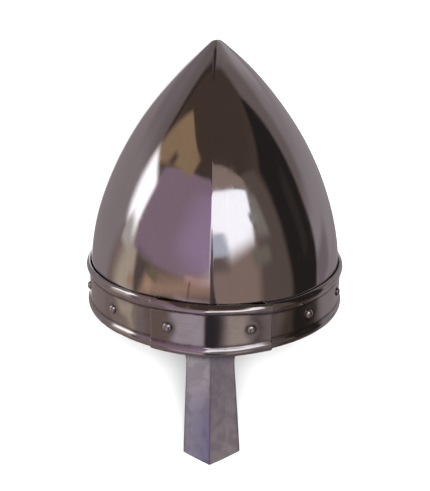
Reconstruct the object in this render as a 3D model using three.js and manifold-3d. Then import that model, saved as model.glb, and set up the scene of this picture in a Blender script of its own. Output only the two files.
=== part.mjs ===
// Nasal helmet of polished sheet steel: a pointed two-half skull welded along a medial ridge, a riveted
// brow band with a bead along each edge, a front plate lapped over the band's two ends, and a creased nasal
// bar whose hidden root is riveted behind the front plate.
//
// Millimetres. The helmet is worked out upright, with z = 0 at the brow band's lower edge, the face towards
// -Y and the wearer's left hand towards +X. It is then leaned back onto the nasal's tip and the back of the
// rim, which is how it stands by itself, with the origin under the middle of it on that surface.

import * as THREE from "three";
import { mergeVertices } from "three/addons/utils/BufferGeometryUtils.js";
import Module from "manifold-3d";

const wasm = await Module();
wasm.setup();

// ---------------------------------------------------------------- sizes

// Skull: outside half sizes at the rim, the two arcs of its side profile and its rounded point.
const SKULL_HALF_WIDTH = 99.0;
const SKULL_HALF_DEPTH = 112.0;
const SKULL_THICKNESS = 1.2;
const SKULL_RIM_Z = 1.5;
const SPRING_Z = 22.6; // below this the wall is upright
const LOWER_ARC = { radius: 188.0, toDeg: 20.0, steps: 4 };
const UPPER_ARC = { radius: 252.0, steps: 8 };
const POINT_RADIUS = 8.0;

// Plan of the skull: an oval with a raised crest, the keel, along the welded seam. In front the keel runs down
// to the rim; at the nape it dies out above the band.
const KEEL_HEIGHT = 1.4;
const KEEL_WIDTH = 9.0;
const NAPE_KEEL_Z = { none: 40.0, full: 95.0 };

// Sheet of the band, the front plate and the nasal, and the gap left between two pieces.
const BAND_THICKNESS = 1.2;
const NASAL_THICKNESS = 1.5;
const GAP = 0.3;

// Rise of the beads over the flat, from the lower edge to the upper one. Towards its middle the front plate has
// its own beads, the upper one with a long slope in to the skull; at its ends it follows the band it laps.
const BAND_PROFILE = [
  { z: 0.0, rise: 0.25 },
  { z: 0.9, rise: 0.95 },
  { z: 2.2, rise: 1.5 },
  { z: 3.4, rise: 1.65 },
  { z: 4.4, rise: 1.45 },
  { z: 5.3, rise: 0.95 },
  { z: 6.2, rise: 0.4 },
  { z: 7.4, rise: 0.0 },
  { z: 28.0, rise: 0.0 },
  { z: 29.4, rise: 0.5 },
  { z: 30.9, rise: 1.4 },
  { z: 32.6, rise: 1.75 },
  { z: 34.2, rise: 1.3 },
  { z: 35.4, rise: 0.45 },
  { z: 36.2, rise: -0.4 },
];
const PLATE_PROFILE = [
  { z: 0.0, rise: 0.25 },
  { z: 0.8, rise: 0.9 },
  { z: 1.9, rise: 1.45 },
  { z: 2.9, rise: 1.6 },
  { z: 3.8, rise: 1.4 },
  { z: 4.6, rise: 0.95 },
  { z: 5.4, rise: 0.35 },
  { z: 6.6, rise: 0.0 },
  { z: 29.4, rise: 0.0 },
  { z: 30.2, rise: 0.4 },
  { z: 31.0, rise: 1.05 },
  { z: 31.8, rise: 1.35 },
  { z: 32.5, rise: 1.15 },
  { z: 33.2, rise: 0.7 },
  { z: 34.2, rise: -0.1 },
  { z: 35.2, rise: -0.95 },
  { z: 36.2, rise: -1.75 },
];
const PLATE_BEAD_DEG = { full: 8.0, none: 18.8 };

// The lower edge sags a little towards the face; the sag fades out upwards.
const SAG = { depth: 2.1, halfAngleDeg: 22.0, fadeZ: 14.0 };

// The upper edge was set a little lower on the wearer's left of the face than on the right.
const DIP = {
  table: [
    { deg: -18, drop: 0.0 },
    { deg: -8, drop: 0.7 },
    { deg: 8, drop: 1.2 },
    { deg: 21, drop: 2.4 },
    { deg: 32, drop: 2.8 },
    { deg: 42, drop: 2.0 },
    { deg: 56, drop: 1.4 },
    { deg: 80, drop: 1.2 },
    { deg: 140, drop: 0.0 },
  ],
  fromZ: 18.0,
  fullZ: 27.4,
};

// Angles are measured from the face, positive towards +X.
const PLATE_ENDS_DEG = { from: -21.4, to: 21.4 };
const ROOT_ENDS_DEG = { from: -16.9, to: 16.4 };
const BAND_ENDS_DEG = { from: 19.2, to: 340.8 };

// Nasal below the rim: half width across the bar, and how far the crease stands forward of the edges.
const NASAL_SECTIONS = [
  { z: 0.0, halfWidth: 20.0, creaseExtra: 0.0 },
  { z: -2.6, halfWidth: 17.6, creaseExtra: 0.1 },
  { z: -6.0, halfWidth: 16.8, creaseExtra: 0.3 },
  { z: -28.0, halfWidth: 17.8, creaseExtra: 0.8 },
  { z: -52.0, halfWidth: 19.0, creaseExtra: 1.3 },
  { z: -76.2, halfWidth: 20.2, creaseExtra: 1.7 },
];
const NASAL_POINT_DROP = 8.8; // the tip reaches this far below the corners' level
// The bar was cut by hand: how much wider than the table each side is at the top and at the corners, and how far
// its corner is below their level.
const NASAL_SIDES = {
  right: { top: 0.0, corner: -1.45, drop: 1.6 }, // the wearer's right, -X
  left: { top: -0.5, corner: 1.05, drop: 0.4 },
};
const NASAL_FLARE_DEG = 3.0; // the bar leans forward
const ROOT_TOP_Z = 27.4;
const ROOT_BOTTOM_Z = 5.0;

// Rivets: a domed head outside, a shank and a flat tail inside, all round the middle of the band.
const RIVET_Z = 17.0;
const RIVET = {
  headRadius: 3.3,
  headHeight: 2.5,
  shankRadius: 2.0,
  holeRadius: 2.45,
  tailRadius: 3.0,
  tailHeight: 1.0,
};
const RIVETS = [
  { name: "rivet_01", deg: -154.5, through: "band" },
  { name: "rivet_02", deg: -127.0, through: "band" },
  { name: "rivet_03", deg: -99.0, through: "band" },
  { name: "rivet_04", deg: -71.6, through: "band" },
  { name: "rivet_05", deg: -41.9, through: "band" },
  { name: "rivet_06", deg: -15.0, through: "plate" },
  { name: "rivet_07", deg: 13.9, through: "plate" },
  { name: "rivet_08", deg: 39.9, through: "band" },
  { name: "rivet_09", deg: 69.0, through: "band" },
  { name: "rivet_10", deg: 99.0, through: "band" },
  { name: "rivet_11", deg: 127.0, through: "band" },
  { name: "rivet_12", deg: 154.5, through: "band" },
  { name: "rivet_13", deg: 180.0, through: "band" },
];

// Facets.
const SKULL_STEP_DEG = 6.0;
const CREST_STEP_DEG = 2.4; // one finer step on each side of the ridge
const POINT_STEPS = 3;
const BAND_STEP_DEG = 5.9; // an odd number of steps, so one facet lies across the nape
const PLATE_STEP_DEG = 4.0;
const ROUND_SEGMENTS = 10;

// Lean of the resting helmet, which puts the nasal's tip and the back of the rim on one level.
const REST_LEAN_DEG = 20.257;

// ---------------------------------------------------------------- plan and profile

const RAD = Math.PI / 180;

// Share of the keel left at an angle and a height.
function keelShare(angle, z) {
  if (Math.cos(angle) > 0) return 1;
  return THREE.MathUtils.smoothstep(z, NAPE_KEEL_Z.none, NAPE_KEEL_Z.full);
}

// Outside of the skull seen from above, at an angle from the face, with the keel as it is at a height.
function planPoint(angle, z) {
  const s = Math.sin(angle),
    c = Math.cos(angle);
  const r = 1 / Math.hypot(s / SKULL_HALF_WIDTH, c / SKULL_HALF_DEPTH);
  const x = r * s;
  const below = KEEL_HEIGHT * (Math.exp(-Math.abs(x) / KEEL_WIDTH) - 1) * keelShare(angle, z);
  return new THREE.Vector2(x, -(r + below) * c);
}

// Unit normal of the plan, outwards.
function planNormal(angle, z) {
  const d = 0.004;
  const t = planPoint(angle + d, z).sub(planPoint(angle - d, z));
  return new THREE.Vector2(t.y, -t.x).normalize();
}

function planOffset(angle, offset, z) {
  return planPoint(angle, z).addScaledVector(planNormal(angle, z), offset);
}

// How far the lower edge sags at an angle, for a point at a height.
function sag(angle, z) {
  const a = Math.atan2(Math.sin(angle), Math.cos(angle)) / (SAG.halfAngleDeg * RAD);
  return SAG.depth * Math.exp(-a * a) * Math.min(1, Math.max(0, 1 - z / SAG.fadeZ));
}

// How far the upper edge is set down at an angle, for a point at a height.
function dip(angle, z) {
  const deg = Math.atan2(Math.sin(angle), Math.cos(angle)) / RAD;
  const share = THREE.MathUtils.smoothstep(z, DIP.fromZ, DIP.fullZ);
  return share * readTable(DIP.table, "deg", "drop", deg);
}

// Linear reading of a table, held at its two ends.
function readTable(table, key, value, at) {
  if (at <= table[0][key]) return table[0][value];
  for (let i = 0; i + 1 < table.length; i++)
    if (at <= table[i + 1][key]) {
      const f = (at - table[i][key]) / (table[i + 1][key] - table[i][key]);
      return table[i][value] + f * (table[i + 1][value] - table[i][value]);
    }
  return table[table.length - 1][value];
}

// Rows of the skull's side profile: half width and height, moved along the normal by the offset.
function profileRows(offset) {
  const rows = [{ half: SKULL_HALF_WIDTH + offset, z: SKULL_RIM_Z }];
  const arc = (half, z, radius, from, to, steps, first) => {
    for (let i = first; i <= steps; i++) {
      const a = from + ((to - from) * i) / steps;
      rows.push({ half: half + radius * Math.cos(a), z: z + radius * Math.sin(a) });
    }
  };
  const change = LOWER_ARC.toDeg * RAD;
  const lowHalf = SKULL_HALF_WIDTH - LOWER_ARC.radius;
  arc(lowHalf, SPRING_Z, LOWER_ARC.radius + offset, 0, change, LOWER_ARC.steps, 0);
  const grow = LOWER_ARC.radius - UPPER_ARC.radius;
  const highHalf = lowHalf + grow * Math.cos(change);
  const highZ = SPRING_Z + grow * Math.sin(change);
  const tangent = Math.acos(-highHalf / (UPPER_ARC.radius - POINT_RADIUS));
  arc(highHalf, highZ, UPPER_ARC.radius + offset, change, tangent, UPPER_ARC.steps, 1);
  const pointZ = highZ + (UPPER_ARC.radius - POINT_RADIUS) * Math.sin(tangent);
  arc(0, pointZ, POINT_RADIUS + offset, tangent, Math.PI / 2, POINT_STEPS, 1);
  rows[rows.length - 1].half = 0;
  return rows;
}

// Angles round the skull, with the finer steps at the ridge.
function skullAngles() {
  const list = [];
  for (let d = 0; d < 360; d += SKULL_STEP_DEG) list.push(d);
  for (const ridge of [0, 180]) list.push((ridge + 360 - CREST_STEP_DEG) % 360, ridge + CREST_STEP_DEG);
  return list.sort((a, b) => a - b).map((d) => d * RAD);
}

// ---------------------------------------------------------------- solids

// Collects vertices and triangles of one closed surface.
class Surface {
  constructor() {
    this.positions = [];
    this.indices = [];
  }
  vertex(x, y, z) {
    this.positions.push(x, y, z);
    return this.positions.length / 3 - 1;
  }
  // a, b, c, d run anticlockwise seen from outside.
  quad(a, b, c, d) {
    this.indices.push(a, b, c, a, c, d);
  }
  triangle(a, b, c) {
    this.indices.push(a, b, c);
  }
  geometry() {
    const g = new THREE.BufferGeometry();
    g.setAttribute("position", new THREE.Float32BufferAttribute(this.positions, 3));
    g.setIndex(this.indices);
    return g;
  }
}

// A sheet between two grids of points, outside[row][column] and inside[row][column], closed along its edges.
function sheetGeometry(outside, inside) {
  const s = new Surface();
  const put = (grid) => grid.map((row) => row.map((p) => s.vertex(p.x, p.y, p.z)));
  const o = put(outside),
    n = put(inside);
  const rows = o.length - 1,
    cols = o[0].length - 1;
  for (let r = 0; r < rows; r++)
    for (let c = 0; c < cols; c++) {
      s.quad(o[r][c], o[r][c + 1], o[r + 1][c + 1], o[r + 1][c]);
      s.quad(n[r][c], n[r + 1][c], n[r + 1][c + 1], n[r][c + 1]);
    }
  for (let c = 0; c < cols; c++) {
    s.quad(o[0][c + 1], o[0][c], n[0][c], n[0][c + 1]);
    s.quad(o[rows][c], o[rows][c + 1], n[rows][c + 1], n[rows][c]);
  }
  for (let r = 0; r < rows; r++) {
    s.quad(o[r][0], o[r + 1][0], n[r + 1][0], n[r][0]);
    s.quad(o[r + 1][cols], o[r][cols], n[r][cols], n[r + 1][cols]);
  }
  return s.geometry();
}

function solid(geometry) {
  const bare = new THREE.BufferGeometry();
  bare.setAttribute("position", geometry.getAttribute("position"));
  if (geometry.index) bare.setIndex(geometry.index);
  const merged = mergeVertices(bare, 1e-4);
  return new wasm.Manifold(
    new wasm.Mesh({
      numProp: 3,
      vertProperties: merged.attributes.position.array,
      triVerts: new Uint32Array(merged.index.array),
    }),
  );
}

function geometryOf(manifold) {
  const m = manifold.getMesh();
  const g = new THREE.BufferGeometry();
  g.setAttribute("position", new THREE.BufferAttribute(new Float32Array(m.vertProperties), 3));
  g.setIndex(new THREE.BufferAttribute(new Uint32Array(m.triVerts), 1));
  g.computeVertexNormals();
  return g;
}

// The skull: a shell of two walls joined at the rim, with one vertex at each point.
function skullGeometry() {
  const s = new Surface();
  const angles = skullAngles();
  const segments = angles.length;
  const wall = (offset) => {
    const rows = profileRows(offset);
    const base = SKULL_HALF_WIDTH + offset;
    return rows.map(({ half, z }) => {
      if (half === 0) return [s.vertex(0, 0, z)];
      return angles.map((angle) => {
        const p = planOffset(angle, offset, z);
        return s.vertex((p.x * half) / base, (p.y * half) / base, z);
      });
    });
  };
  const join = (rows, flip) => {
    for (let r = 0; r + 1 < rows.length; r++)
      for (let i = 0; i < segments; i++) {
        const k = (i + 1) % segments;
        const low = rows[r],
          high = rows[r + 1];
        if (high.length === 1)
          flip ? s.triangle(low[k], low[i], high[0]) : s.triangle(low[i], low[k], high[0]);
        else if (flip) s.quad(low[k], low[i], high[i], high[k]);
        else s.quad(low[i], low[k], high[k], high[i]);
      }
  };
  const outer = wall(0),
    inner = wall(-SKULL_THICKNESS);
  join(outer, false);
  join(inner, true);
  for (let i = 0; i < segments; i++) {
    const k = (i + 1) % segments;
    s.quad(inner[0][i], inner[0][k], outer[0][k], outer[0][i]);
  }
  return s.geometry();
}

// A strip of beaded sheet round the plan between two angles, its inside a distance off the skull. ownProfile is the
// profile it has towards its middle, if that isn't the band's.
function stripGeometry(fromDeg, toDeg, stepDeg, insideOffset, ownProfile) {
  const { full, none } = PLATE_BEAD_DEG;
  const steps = Math.round((toDeg - fromDeg) / stepDeg);
  const angles = new Set();
  for (let i = 0; i <= steps; i++) angles.add(fromDeg + ((toDeg - fromDeg) * i) / steps);
  if (ownProfile) for (const deg of [-none, 0, none]) angles.add(deg); // the crease is at 0
  const list = [...angles].sort((a, b) => a - b);
  const tables = ownProfile ? [BAND_PROFILE, ownProfile] : [BAND_PROFILE];
  const rows = [...new Set(tables.flat().map(({ z }) => z))].sort((a, b) => a - b);
  const riseAt = (deg, z) => {
    const band = readTable(BAND_PROFILE, "z", "rise", z);
    if (!ownProfile) return band;
    const own = readTable(ownProfile, "z", "rise", z);
    return own + (band - own) * THREE.MathUtils.smoothstep(Math.abs(deg), full, none);
  };
  const grid = (offset) =>
    rows.map((z) =>
      list.map((deg) => {
        const p = planOffset(deg * RAD, offset + riseAt(deg, z), 0);
        return new THREE.Vector3(p.x, p.y, z - sag(deg * RAD, z) - dip(deg * RAD, z));
      }),
    );
  return sheetGeometry(grid(insideOffset + BAND_THICKNESS), grid(insideOffset));
}

// Linear reading of the nasal's table at a height.
function nasalSection(z) {
  const t = NASAL_SECTIONS;
  if (z >= t[0].z) return t[0];
  for (let i = 0; i + 1 < t.length; i++)
    if (z >= t[i + 1].z) {
      const f = (t[i].z - z) / (t[i].z - t[i + 1].z);
      const mix = (key) => t[i][key] + f * (t[i + 1][key] - t[i][key]);
      return { z, halfWidth: mix("halfWidth"), creaseExtra: mix("creaseExtra") };
    }
  return t[t.length - 1];
}

// Angle at which the plan, moved out by an offset, reaches a distance from the middle.
function angleAt(x, offset) {
  let lo = -Math.PI / 2,
    hi = Math.PI / 2;
  for (let i = 0; i < 60; i++) {
    const mid = (lo + hi) / 2;
    planOffset(mid, offset, 0).x < x ? (lo = mid) : (hi = mid);
  }
  return (lo + hi) / 2;
}

// The bar: columns across its width, rows down to the pointed end.
function nasalBarGeometry() {
  const across = [-1, -0.72, -0.42, -0.16, 0, 0.16, 0.42, 0.72, 1];
  const rows = [ROOT_TOP_Z - 1, ROOT_BOTTOM_Z + 1, ...NASAL_SECTIONS.map((s) => s.z)];
  const flare = Math.tan(NASAL_FLARE_DEG * RAD);
  const grid = (offset) =>
    rows.map((z, r) =>
      across.map((u) => {
        const section = nasalSection(z);
        const side = u < 0 ? NASAL_SIDES.right : NASAL_SIDES.left;
        const share = THREE.MathUtils.clamp(z / NASAL_SECTIONS[NASAL_SECTIONS.length - 1].z, 0, 1);
        const x = u * (section.halfWidth + THREE.MathUtils.lerp(side.top, side.corner, share));
        const back = planOffset(angleAt(x, offset), offset, 0).y;
        const below = Math.max(0, -z);
        const last = r === rows.length - 1;
        const drop = last ? NASAL_POINT_DROP * (1 - Math.abs(u)) + side.drop * Math.abs(u) : 0;
        return new THREE.Vector3(
          x,
          back + section.creaseExtra * Math.abs(u) - flare * (below + drop),
          z - drop,
        );
      }),
    );
  const down = (g) => g.slice().reverse();
  return sheetGeometry(down(grid(GAP + NASAL_THICKNESS)), down(grid(GAP)));
}

// The hidden root: a strip behind the front plate, as high as the flat between the beads.
function nasalRootGeometry() {
  const { from, to } = ROOT_ENDS_DEG;
  const steps = 12;
  const list = [];
  for (let i = 0; i <= steps; i++) list.push(from + ((to - from) * i) / steps);
  list.push(0);
  list.sort((a, b) => a - b);
  const grid = (offset) =>
    [ROOT_BOTTOM_Z, ROOT_TOP_Z].map((z) =>
      list.map((deg) => {
        const p = planOffset(deg * RAD, offset, 0);
        return new THREE.Vector3(p.x, p.y, z);
      }),
    );
  return sheetGeometry(grid(GAP + NASAL_THICKNESS), grid(GAP));
}

// Layers outwards from the skull.
const BAND_INSIDE = GAP;
const PLATE_INSIDE = GAP + NASAL_THICKNESS + GAP;

function rivetSeat(through) {
  return (through === "plate" ? PLATE_INSIDE : BAND_INSIDE) + BAND_THICKNESS;
}

// A rivet standing on its axis: z = 0 under the head, the tail below the shank.
function rivetGeometry(seat) {
  const { headRadius, headHeight, shankRadius, tailRadius, tailHeight } = RIVET;
  const shank = seat + GAP + SKULL_THICKNESS + GAP;
  const profile = [
    [0, -shank - tailHeight],
    [tailRadius, -shank - tailHeight],
    [tailRadius, -shank],
    [shankRadius, -shank],
    [shankRadius, 0],
    [headRadius, 0],
    [headRadius * 0.94, headHeight * 0.34],
    [headRadius * 0.62, headHeight * 0.8],
    [0, headHeight],
  ].map(([r, z]) => new THREE.Vector2(r, z));
  const g = new THREE.LatheGeometry(profile, ROUND_SEGMENTS);
  g.rotateX(Math.PI / 2); // the lathe turns about Y
  return g;
}

// Place and direction of a rivet's axis.
function rivetFrame({ deg, through }) {
  const seat = rivetSeat(through);
  const n = planNormal(deg * RAD, 0);
  const p = planOffset(deg * RAD, seat + GAP, 0);
  const axis = new THREE.Vector3(n.x, n.y, 0);
  return {
    seat,
    position: new THREE.Vector3(p.x, p.y, RIVET_Z),
    quaternion: new THREE.Quaternion().setFromUnitVectors(new THREE.Vector3(0, 0, 1), axis),
  };
}

function holeSolid(rivet) {
  const { position, quaternion } = rivetFrame(rivet);
  const drill = new THREE.CylinderGeometry(RIVET.holeRadius, RIVET.holeRadius, 16, ROUND_SEGMENTS);
  drill.rotateX(Math.PI / 2);
  drill.applyQuaternion(quaternion).translate(position.x, position.y, position.z);
  return solid(drill);
}

function drilled(geometry, rivets) {
  return rivets.reduce((s, rivet) => s.subtract(holeSolid(rivet)), solid(geometry));
}

// ---------------------------------------------------------------- assembly

function steel(color, roughness) {
  return new THREE.MeshStandardMaterial({ color, roughness, metalness: 1.0 });
}

function named(name, geometry, material) {
  const mesh = new THREE.Mesh(geometry, material);
  mesh.name = name;
  return mesh;
}

const upright = new THREE.Group();

upright.add(named("skull", geometryOf(drilled(skullGeometry(), RIVETS)), steel(0x8f898d, 0.12)));

upright.add(
  named(
    "brow_band",
    geometryOf(
      drilled(
        stripGeometry(BAND_ENDS_DEG.from, BAND_ENDS_DEG.to, BAND_STEP_DEG, BAND_INSIDE),
        RIVETS.filter((r) => r.through === "band"),
      ),
    ),
    steel(0x857e83, 0.18),
  ),
);

const plateRivets = RIVETS.filter((r) => r.through === "plate");
upright.add(
  named(
    "front_plate",
    geometryOf(
      drilled(
        stripGeometry(
          PLATE_ENDS_DEG.from,
          PLATE_ENDS_DEG.to,
          PLATE_STEP_DEG,
          PLATE_INSIDE,
          PLATE_PROFILE,
        ),
        plateRivets,
      ),
    ),
    steel(0x857e83, 0.18),
  ),
);

const nasal = plateRivets.reduce(
  (s, rivet) => s.subtract(holeSolid(rivet)),
  solid(nasalBarGeometry()).add(solid(nasalRootGeometry())),
);
upright.add(named("nasal", geometryOf(nasal), steel(0x8a8488, 0.34)));

for (const rivet of RIVETS) {
  const { seat, position, quaternion } = rivetFrame(rivet);
  const mesh = named(rivet.name, rivetGeometry(seat), steel(0x9b969a, 0.16));
  mesh.position.copy(position);
  mesh.quaternion.copy(quaternion);
  upright.add(mesh);
}

// Leaned back at rest, then brought over the origin.
upright.rotation.x = -REST_LEAN_DEG * RAD;
const helmet = new THREE.Group();
helmet.name = "nasal_helmet";
helmet.add(upright);
helmet.updateMatrixWorld(true);
const box = new THREE.Box3().setFromObject(helmet, true);
upright.position.set(-(box.min.x + box.max.x) / 2, -(box.min.y + box.max.y) / 2, -box.min.z);

export default helmet;
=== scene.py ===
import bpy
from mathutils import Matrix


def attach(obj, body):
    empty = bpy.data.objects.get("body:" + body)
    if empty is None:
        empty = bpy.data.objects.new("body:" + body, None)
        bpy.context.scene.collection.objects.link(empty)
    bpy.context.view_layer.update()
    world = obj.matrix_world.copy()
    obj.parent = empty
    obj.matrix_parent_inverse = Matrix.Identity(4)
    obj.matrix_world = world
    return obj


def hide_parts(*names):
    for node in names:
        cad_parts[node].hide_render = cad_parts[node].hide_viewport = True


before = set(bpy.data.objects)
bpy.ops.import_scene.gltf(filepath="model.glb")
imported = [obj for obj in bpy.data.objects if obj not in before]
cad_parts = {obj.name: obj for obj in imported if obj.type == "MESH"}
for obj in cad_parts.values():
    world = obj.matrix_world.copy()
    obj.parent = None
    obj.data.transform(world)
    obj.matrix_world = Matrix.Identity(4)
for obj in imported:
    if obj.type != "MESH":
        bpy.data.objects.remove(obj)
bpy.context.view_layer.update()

import math

import bpy
import numpy as np
from mathutils import Matrix

# Looks of the nasal helmet. Every piece is made again here as a fine closed mesh of the same shape and size, worked
# out upright in millimetres (z = 0 at the band's lower edge, face towards -Y, angles from the face, positive
# towards +X) and then leaned back as it rests, in metres.

# ---------------------------------------------------------------- sizes, as in the part's source

HALF_WIDTH, HALF_DEPTH = 99.0, 112.0
SKULL_THICKNESS = 1.2
RIM_Z, SPRING_Z = 1.5, 22.6
LOWER_RADIUS, LOWER_TO = 188.0, math.radians(20.0)
UPPER_RADIUS, POINT_RADIUS = 252.0, 8.0
KEEL_HEIGHT, KEEL_WIDTH = 1.4, 9.0
NAPE_KEEL = (40.0, 95.0)
BAND_THICKNESS, NASAL_THICKNESS, GAP = 1.2, 1.5, 0.3
BAND_PROFILE = [
    (0.0, 0.25), (0.9, 0.95), (2.2, 1.5), (3.4, 1.65), (4.4, 1.45), (5.3, 0.95), (6.2, 0.4), (7.4, 0.0),
    (28.0, 0.0), (29.4, 0.5), (30.9, 1.4), (32.6, 1.75), (34.2, 1.3), (35.4, 0.45), (36.2, -0.4),
]
PLATE_PROFILE = [
    (0.0, 0.25), (0.8, 0.9), (1.9, 1.45), (2.9, 1.6), (3.8, 1.4), (4.6, 0.95), (5.4, 0.35), (6.6, 0.0),
    (29.4, 0.0), (30.2, 0.4), (31.0, 1.05), (31.8, 1.35), (32.5, 1.15), (33.2, 0.7), (34.2, -0.1),
    (35.2, -0.95), (36.2, -1.75),
]
PLATE_BEAD = (math.radians(8.0), math.radians(18.8))
SAG_DEPTH, SAG_ANGLE, SAG_FADE = 2.1, math.radians(22.0), 14.0
DIP = [(-18, 0.0), (-8, 0.7), (8, 1.2), (21, 2.4), (32, 2.8), (42, 2.0), (56, 1.4), (80, 1.2), (140, 0.0)]
DIP_FROM, DIP_FULL = 18.0, 27.4
PLATE_ENDS = (-21.4, 21.4)
ROOT_ENDS = (-16.9, 16.4)
BAND_ENDS = (19.2, 340.8)
NASAL_SECTIONS = [
    (0.0, 20.0, 0.0), (-2.6, 17.6, 0.1), (-6.0, 16.8, 0.3),
    (-28.0, 17.8, 0.8), (-52.0, 19.0, 1.3), (-76.2, 20.2, 1.7),
]
NASAL_DROP, NASAL_FLARE = 8.8, math.tan(math.radians(3.0))
ROOT_BOTTOM, ROOT_TOP = 5.0, 27.4
BAND_INSIDE = GAP
PLATE_INSIDE = GAP + NASAL_THICKNESS + GAP
RIVET_Z = 17.0
RIVETS = [
    ("rivet_01", -154.5, "band"), ("rivet_02", -127.0, "band"), ("rivet_03", -99.0, "band"),
    ("rivet_04", -71.6, "band"), ("rivet_05", -41.9, "band"), ("rivet_06", -15.0, "plate"),
    ("rivet_07", 13.9, "plate"), ("rivet_08", 39.9, "band"), ("rivet_09", 69.0, "band"),
    ("rivet_10", 99.0, "band"), ("rivet_11", 127.0, "band"), ("rivet_12", 154.5, "band"),
    ("rivet_13", 180.0, "band"),
]
LEAN = math.radians(20.257)
REST_Y, REST_Z = 8.621642688686258, 39.318506458525405


def smoothstep(x, a, b):
    t = np.clip((x - a) / (b - a), 0.0, 1.0)
    return t * t * (3.0 - 2.0 * t)


def at_rest(p):
    """Upright millimetres to metres as the helmet rests."""
    s, c = math.sin(LEAN), math.cos(LEAN)
    x, y, z = p[..., 0], p[..., 1], p[..., 2]
    return np.stack([x, y * c + z * s + REST_Y, -y * s + z * c + REST_Z], -1) * 0.001


# ---------------------------------------------------------------- plan and profile


def plan(a, z, soft, wander=0.0):
    """Outside of the skull seen from above; soft rounds the keel's crest, wander moves it sideways."""
    s, c = np.sin(a), np.cos(a)
    r = 1.0 / np.hypot(s / HALF_WIDTH, c / HALF_DEPTH)
    x = r * s
    share = np.where(c > 0, 1.0, smoothstep(z, *NAPE_KEEL))
    off = np.sqrt((x - wander) ** 2 + soft * soft) - soft
    below = KEEL_HEIGHT * (np.exp(-off / KEEL_WIDTH) - 1.0) * share
    y = -(r + below) * c
    return np.stack([np.broadcast_to(x, y.shape), y], -1)


def plan_normal(a, z, soft):
    d = 0.0015
    t = plan(a + d, z, soft) - plan(a - d, z, soft)
    n = np.stack([t[..., 1], -t[..., 0]], -1)
    return n / np.linalg.norm(n, axis=-1, keepdims=True)


def wrapped(a):
    return np.arctan2(np.sin(a), np.cos(a))


def sag(a, z):
    t = wrapped(a) / SAG_ANGLE
    return SAG_DEPTH * np.exp(-t * t) * np.clip(1.0 - z / SAG_FADE, 0.0, 1.0)


def dip(a, z):
    return np.interp(np.degrees(wrapped(a)), *np.array(DIP, float).T) * smoothstep(z, DIP_FROM, DIP_FULL)


def profile(step):
    """Half width, height and length along the skull's side profile, from the rim to just short of the point."""
    low_half = HALF_WIDTH - LOWER_RADIUS
    grow = LOWER_RADIUS - UPPER_RADIUS
    high_half = low_half + grow * math.cos(LOWER_TO)
    high_z = SPRING_Z + grow * math.sin(LOWER_TO)
    tangent = math.acos(-high_half / (UPPER_RADIUS - POINT_RADIUS))
    point_z = high_z + (UPPER_RADIUS - POINT_RADIUS) * math.sin(tangent)
    rim = RIM_Z + SKULL_THICKNESS / 2
    parts = []
    n = max(2, round((SPRING_Z - rim) / step))
    t = np.linspace(0, 1, n, endpoint=False)
    parts.append(np.stack([np.full(n, HALF_WIDTH), rim + (SPRING_Z - rim) * t], -1))
    n = max(4, round(LOWER_RADIUS * LOWER_TO / step))
    t = np.linspace(0, LOWER_TO, n, endpoint=False)
    parts.append(np.stack([low_half + LOWER_RADIUS * np.cos(t), SPRING_Z + LOWER_RADIUS * np.sin(t)], -1))
    n = max(4, round(UPPER_RADIUS * (tangent - LOWER_TO) / step))
    t = np.linspace(LOWER_TO, tangent, n, endpoint=False)
    parts.append(np.stack([high_half + UPPER_RADIUS * np.cos(t), high_z + UPPER_RADIUS * np.sin(t)], -1))
    t = np.linspace(tangent, math.pi / 2, 9)[:-1]
    parts.append(np.stack([POINT_RADIUS * np.cos(t), point_z + POINT_RADIUS * np.sin(t)], -1))
    rows = np.concatenate(parts)
    length = np.concatenate([[0.0], np.cumsum(np.linalg.norm(np.diff(rows, axis=0), axis=1))])
    return rows[:, 0], rows[:, 1], length, point_z + POINT_RADIUS


def monotone(table):
    """Smooth curve through a table with no overshoot between its rows."""
    x, y = np.array(table, float).T
    h, d = np.diff(x), np.diff(y) / np.diff(x)
    m = np.zeros_like(x)
    for i in range(1, len(x) - 1):
        if d[i - 1] * d[i] > 0:
            w1, w2 = 2 * h[i] + h[i - 1], h[i] + 2 * h[i - 1]
            m[i] = (w1 + w2) / (w1 / d[i - 1] + w2 / d[i])
    m[0], m[-1] = d[0], d[-1]

    def curve(q):
        q = np.clip(q, x[0], x[-1])
        i = np.clip(np.searchsorted(x, q, side="right") - 1, 0, len(h) - 1)
        t = (q - x[i]) / h[i]
        return (
            (1 + 2 * t) * (1 - t) ** 2 * y[i] + t * (1 - t) ** 2 * h[i] * m[i]
            + t * t * (3 - 2 * t) * y[i + 1] + t * t * (t - 1) * h[i] * m[i + 1]
        )

    return curve


def dents(p, seed, count, shortest, longest, slope):
    """Shallow unevenness of hand-worked sheet at points in space: many long waves of a small slope."""
    rng = np.random.default_rng(seed)
    total = np.zeros(p.shape[:-1])
    for _ in range(count):
        k = rng.normal(size=3)
        k /= np.linalg.norm(k)
        wave = rng.uniform(shortest, longest)
        total += wave / (2 * math.pi) * np.sin(2 * math.pi / wave * (p @ k) + rng.uniform(0, 2 * math.pi))
    return total * slope * math.sqrt(2.0 / count)


# ---------------------------------------------------------------- meshes


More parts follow.
